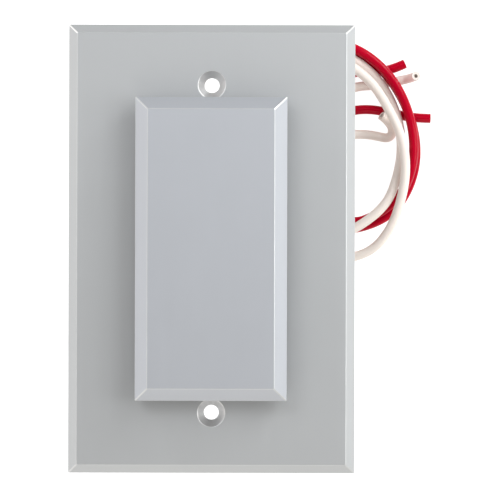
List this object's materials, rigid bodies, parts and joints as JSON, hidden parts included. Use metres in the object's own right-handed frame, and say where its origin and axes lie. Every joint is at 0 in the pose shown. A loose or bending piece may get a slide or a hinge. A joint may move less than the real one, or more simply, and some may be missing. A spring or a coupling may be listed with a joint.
{
  "type": "door push plate switch",
  "caption": "Single-gang push plate switch: bevelled aluminium plate with a floating bevelled push cap, sunk fixing holes, snap-action switches and loose insulated leads.",
  "frame": {"origin": "on the surface that the bracket's two walls stand on, under the middle of the face plate", "axes": "+Z the way the push cap faces, +Y up the plate as mounted on a wall, +X across it towards the leads"},
  "size_m": [0.095, 0.1142, 0.0427],
  "materials": {
    "satin_aluminium": "fine vertical satin brushing, clear anodised",
    "bright_steel": "ground and bright",
    "natural_nylon": "moulded, slightly translucent off-white",
    "black_rubber": "matt",
    "spring_steel": "bright rolled",
    "plated_sheet": "zinc plated, dull",
    "plated_fasteners": "zinc plated, bright",
    "black_moulding": "fine moulded texture",
    "grey_moulding": "smooth moulded",
    "brass_blades": "stamped, lightly tarnished",
    "solder": "bright solder",
    "red_insulation": "smooth extruded, semi-gloss",
    "white_insulation": "smooth extruded, semi-gloss, slightly warm"
  },
  "bodies": {
    "base": {"bracket_nuts": "plated_fasteners", "bracket_screws": "plated_fasteners", "face_plate": "satin_aluminium", "guide_bush_lower": "natural_nylon", "guide_bush_upper": "natural_nylon", "lead_grommets": "black_rubber", "lead_red_inner": "red_insulation", "lead_red_outer": "red_insulation", "lead_white_inner": "white_insulation", "lead_white_outer": "white_insulation", "lever_pins": "bright_steel", "return_spring_lower": "spring_steel", "return_spring_upper": "spring_steel", "solder_joints": "solder", "switch_bracket": "plated_sheet", "switch_case_left": "black_moulding", "switch_case_right": "black_moulding", "switch_nuts": "plated_fasteners", "switch_screws": "plated_fasteners", "switch_terminals_left": "brass_blades", "switch_terminals_right": "brass_blades"},
    "push_button": {"actuator_bar": "bright_steel", "actuator_stem": "bright_steel", "guide_post_lower": "bright_steel", "guide_post_upper": "bright_steel", "push_cap": "satin_aluminium", "retaining_clip_lower": "spring_steel", "retaining_clip_upper": "spring_steel", "stop_buffer_lower": "black_rubber", "stop_buffer_upper": "black_rubber"},
    "lever_right": {"switch_lever_right": "spring_steel"},
    "lever_left": {"switch_lever_left": "spring_steel"},
    "plunger_right": {"switch_plunger_right": "grey_moulding"},
    "plunger_left": {"switch_plunger_left": "grey_moulding"}
  },
  "joints": [
    {"name": "push", "type": "slide", "parent": "base", "child": "push_button", "axis": [0, 0, -1], "range_m": [0, 0.0024], "stiffness_N_per_m": 900, "springref_m": -0.003, "deforming": ["return_spring_lower", "return_spring_upper"]},
    {"name": "lever_right_hinge", "type": "hinge", "parent": "base", "child": "lever_right", "pos_m": [0.00915, -0.018, 0.0246], "axis": [-1, 0, 0], "range_deg": [0, 7.64]},
    {"name": "lever_left_hinge", "type": "hinge", "parent": "base", "child": "lever_left", "pos_m": [-0.00915, 0.018, 0.0246], "axis": [1, 0, 0], "range_deg": [0, 7.64]},
    {"name": "plunger_right_slide", "type": "slide", "parent": "base", "child": "plunger_right", "axis": [0, 0, -1], "range_m": [0, 0.000935]},
    {"name": "plunger_left_slide", "type": "slide", "parent": "base", "child": "plunger_left", "axis": [0, 0, -1], "range_m": [0, 0.000935]}
  ],
  "couplings": [
    {"joint": "lever_right_hinge", "follows": "push", "rad_per_m": 55.556},
    {"joint": "lever_left_hinge", "follows": "push", "rad_per_m": 55.556},
    {"joint": "plunger_right_slide", "follows": "push", "ratio": 0.38889},
    {"joint": "plunger_left_slide", "follows": "push", "ratio": 0.38889}
  ]
}
